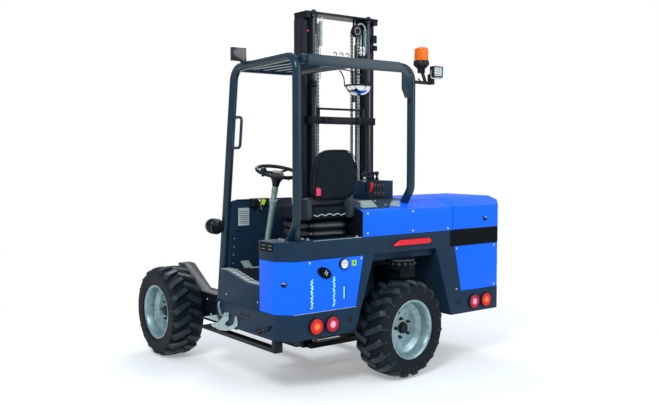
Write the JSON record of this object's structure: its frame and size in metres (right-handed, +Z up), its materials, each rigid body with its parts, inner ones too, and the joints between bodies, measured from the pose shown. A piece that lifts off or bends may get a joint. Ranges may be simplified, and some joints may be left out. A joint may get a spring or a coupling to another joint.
{
  "type": "truck-mounted forklift",
  "caption": "Three-wheel truck-mounted forklift with open cab, straddle legs, reach mast and forks.",
  "frame": {"origin": "on the ground, under the middle of the machine's bounding box", "axes": "+X forward towards the fork tips, +Y to the driver's left, +Z up"},
  "size_m": [2.1512, 2.27, 2.6055],
  "materials": {
    "body_blue": "semi-gloss coat",
    "chassis_grey": "semi-gloss coat",
    "mast_black": "satin coat",
    "galvanised": "zinc coat",
    "chrome_rod": "polished",
    "tyre_rubber": "matt",
    "black_rubber": "matt",
    "seat_vinyl": "grained",
    "black_plastic": "grained",
    "tread_plate": "embossed",
    "amber_lens": "clear lens",
    "red_lens": "clear lens",
    "cast_block": "rough"
  },
  "bodies": {
    "chassis": {"beacon": "amber_lens", "beacon_base": "black_plastic", "belt": "chassis_grey", "belt_lamp": "red_lens", "bulkhead": "chassis_grey", "console": "chassis_grey", "footwell": "chassis_grey", "guard_frame": "chassis_grey", "hood_fixed": "body_blue", "hub_motors": "mast_black", "leg_left": "chassis_grey", "leg_right": "chassis_grey", "mirror": "chrome_rod", "panel_left": "body_blue", "panel_right": "body_blue", "pedals": "galvanised", "power_unit": "cast_block", "rear_beam": "chassis_grey", "rear_frame": "chassis_grey", "seat_back": "seat_vinyl", "seat_base": "black_rubber", "seat_cushion": "seat_vinyl", "sill_fittings": "galvanised", "steering_column": "galvanised", "steering_wheel": "black_plastic", "step_bar": "mast_black", "tail_lamps": "red_lens", "tread_floor": "tread_plate", "turn_lamps": "amber_lens", "work_lamps": "black_plastic"},
    "wheel_front_left": {"tyre_front_left": "tyre_rubber", "rim_front_left": "galvanised"},
    "wheel_front_right": {"tyre_front_right": "tyre_rubber", "rim_front_right": "galvanised"},
    "rear_steer": {"steer_yoke": "mast_black"},
    "wheel_rear": {"tyre_rear": "tyre_rubber", "rim_rear": "galvanised"},
    "engine_cover": {"hood_cover": "body_blue"},
    "reach": {"reach_carriage": "chassis_grey"},
    "mast": {"mast_outer": "mast_black", "lift_barrels": "mast_black"},
    "mast_upper": {"mast_inner": "mast_black", "lift_rods": "chrome_rod", "lift_chains": "black_plastic"},
    "fork_lift": {"fork_carriage": "chassis_grey", "forks": "mast_black"},
    "tilt_barrel": {"tilt_barrels": "mast_black"},
    "tilt_rod": {"tilt_rods": "chrome_rod"}
  },
  "joints": [
    {"name": "front_left_spin", "type": "hinge", "parent": "chassis", "child": "wheel_front_left", "pos_m": [0.6316, 1.006, 0.345], "axis": [0, 1, 0], "continuous": true},
    {"name": "front_right_spin", "type": "hinge", "parent": "chassis", "child": "wheel_front_right", "pos_m": [0.6316, -1.006, 0.345], "axis": [0, 1, 0], "continuous": true},
    {"name": "rear_steering", "type": "hinge", "parent": "chassis", "child": "rear_steer", "pos_m": [-0.9164, 0, 0.345], "axis": [0, 0, 1], "range_deg": [0, 170]},
    {"name": "rear_spin", "type": "hinge", "parent": "rear_steer", "child": "wheel_rear", "pos_m": [-0.9164, 0, 0.345], "axis": [-0.9954, -0.0958, 0], "continuous": true},
    {"name": "engine_cover_hinge", "type": "hinge", "parent": "chassis", "child": "engine_cover", "pos_m": [-0.3394, -0.75, 1.017], "axis": [0, 1, 0], "range_deg": [0, 65]},
    {"name": "mast_reach", "type": "slide", "parent": "chassis", "child": "reach", "axis": [1, 0, 0], "range_m": [0, 0.6]},
    {"name": "mast_tilt", "type": "hinge", "parent": "reach", "child": "mast", "pos_m": [-0.1714, 0, 0.33], "axis": [0, 1, 0], "range_deg": [-4, 4]},
    {"name": "inner_lift", "type": "slide", "parent": "mast", "child": "mast_upper", "axis": [0, 0, 1], "range_m": [0, 1.8]},
    {"name": "fork_lift_slide", "type": "slide", "parent": "mast_upper", "child": "fork_lift", "axis": [0, 0, 1], "range_m": [0, 1.8]},
    {"name": "tilt_cylinder_swing", "type": "hinge", "parent": "reach", "child": "tilt_barrel", "pos_m": [-0.3044, 0, 0.432], "axis": [0, 1, 0], "range_deg": [-8, 8]},
    {"name": "tilt_rod_slide", "type": "slide", "parent": "tilt_barrel", "child": "tilt_rod", "axis": [0.14, 0, 0.9901], "range_m": [-0.02, 0.02]}
  ],
  "couplings": [
    {"joint": "fork_lift_slide", "follows": "inner_lift", "ratio": 1},
    {"joint": "tilt_cylinder_swing", "follows": "mast_tilt", "ratio": 1.4119},
    {"joint": "tilt_rod_slide", "follows": "mast_tilt", "m_per_rad": 0.14597}
  ]
}
